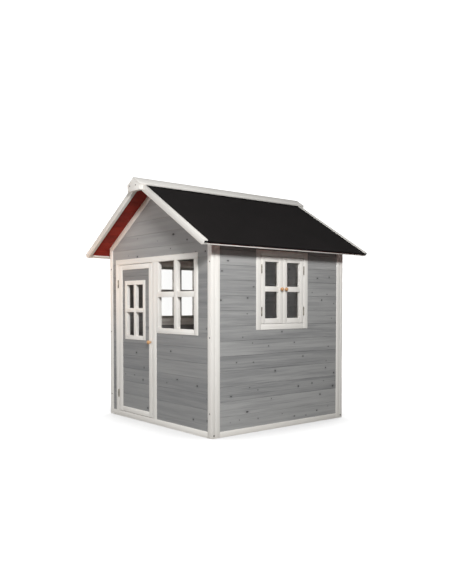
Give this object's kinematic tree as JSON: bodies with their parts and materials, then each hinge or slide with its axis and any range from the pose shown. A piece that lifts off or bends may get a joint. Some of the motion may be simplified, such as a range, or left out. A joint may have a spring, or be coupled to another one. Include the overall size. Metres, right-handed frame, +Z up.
{
  "type": "timber playhouse",
  "caption": "Small timber garden playhouse with stained board walls, white frame trim, a hinged front door, an open front window, paired side casements and a felted pitched roof.",
  "frame": {"origin": "on the ground under the middle of the ridge cap, which is the middle of the whole house", "axes": "+Z up, -Y out of the front wall with the door, +X towards the right wall as seen from the front"},
  "size_m": [1.2932, 1.36, 1.4681],
  "materials": {
    "white_painted_wood": "satin",
    "grey_stained_wood": "matte",
    "red_stained_wood": "matte",
    "bare_pine": "matte",
    "knob_wood": "satin",
    "roofing_felt": "matte",
    "clear_acrylic": "clear",
    "hinge_steel": "zinc plated",
    "screw_steel": "dull"
  },
  "bodies": {
    "root": {"front_corner_posts": "white_painted_wood", "front_bottom_rail": "white_painted_wood", "front_head_rail": "white_painted_wood", "front_rake_rails": "white_painted_wood", "door_post": "white_painted_wood", "centre_post": "white_painted_wood", "front_window_stiles": "white_painted_wood", "front_window_sill": "white_painted_wood", "front_window_bars": "white_painted_wood", "front_wall_boards": "grey_stained_wood", "front_gable_boards": "grey_stained_wood", "back_corner_posts": "white_painted_wood", "back_bottom_rail": "white_painted_wood", "back_rake_rails": "white_painted_wood", "back_wall_boards": "grey_stained_wood", "left_wall_posts": "white_painted_wood", "left_wall_rails": "white_painted_wood", "left_wall_boards": "grey_stained_wood", "left_window_frame": "white_painted_wood", "right_wall_posts": "white_painted_wood", "right_wall_rails": "white_painted_wood", "right_wall_boards": "grey_stained_wood", "right_window_frame": "white_painted_wood", "wall_cleats": "bare_pine", "stop_strips": "white_painted_wood", "wall_screws": "screw_steel", "left_roof_boards": "red_stained_wood", "right_roof_boards": "red_stained_wood", "left_roof_felt": "roofing_felt", "right_roof_felt": "roofing_felt", "eave_battens": "white_painted_wood", "roof_cross_battens": "red_stained_wood", "front_left_barge": "white_painted_wood", "front_right_barge": "white_painted_wood", "back_left_barge": "white_painted_wood", "back_right_barge": "white_painted_wood", "left_ridge_cap": "white_painted_wood", "right_ridge_cap": "white_painted_wood", "ridge_end_blocks": "white_painted_wood", "door_hinge_pins": "hinge_steel", "window_hinge_pins": "hinge_steel"},
    "door": {"door_stiles": "white_painted_wood", "door_rails": "white_painted_wood", "door_boards": "grey_stained_wood", "door_window_frame": "white_painted_wood", "door_window_bars": "white_painted_wood", "door_knob": "knob_wood", "door_hinge_leaves": "hinge_steel"},
    "right_front_casement": {"right_front_sash": "white_painted_wood", "right_front_pane": "clear_acrylic", "right_front_hardware": "knob_wood"},
    "right_back_casement": {"right_back_sash": "white_painted_wood", "right_back_pane": "clear_acrylic", "right_back_hardware": "knob_wood"},
    "left_front_casement": {"left_front_sash": "white_painted_wood", "left_front_pane": "clear_acrylic", "left_front_hardware": "knob_wood"},
    "left_back_casement": {"left_back_sash": "white_painted_wood", "left_back_pane": "clear_acrylic", "left_back_hardware": "knob_wood"}
  },
  "joints": [
    {"name": "door_swing", "type": "hinge", "parent": "root", "child": "door", "pos_m": [-0.4325, -0.533, 0.5], "axis": [0, 0, -1], "range_deg": [0, 170]},
    {"name": "right_front_casement_swing", "type": "hinge", "parent": "root", "child": "right_front_casement", "pos_m": [0.547, -0.1675, 0.808], "axis": [0, 0, -1], "range_deg": [0, 170]},
    {"name": "right_back_casement_swing", "type": "hinge", "parent": "root", "child": "right_back_casement", "pos_m": [0.547, 0.1775, 0.808], "axis": [0, 0, 1], "range_deg": [0, 170]},
    {"name": "left_front_casement_swing", "type": "hinge", "parent": "root", "child": "left_front_casement", "pos_m": [-0.547, -0.1675, 0.808], "axis": [0, 0, 1], "range_deg": [0, 170]},
    {"name": "left_back_casement_swing", "type": "hinge", "parent": "root", "child": "left_back_casement", "pos_m": [-0.547, 0.1775, 0.808], "axis": [0, 0, -1], "range_deg": [0, 170]}
  ]
}
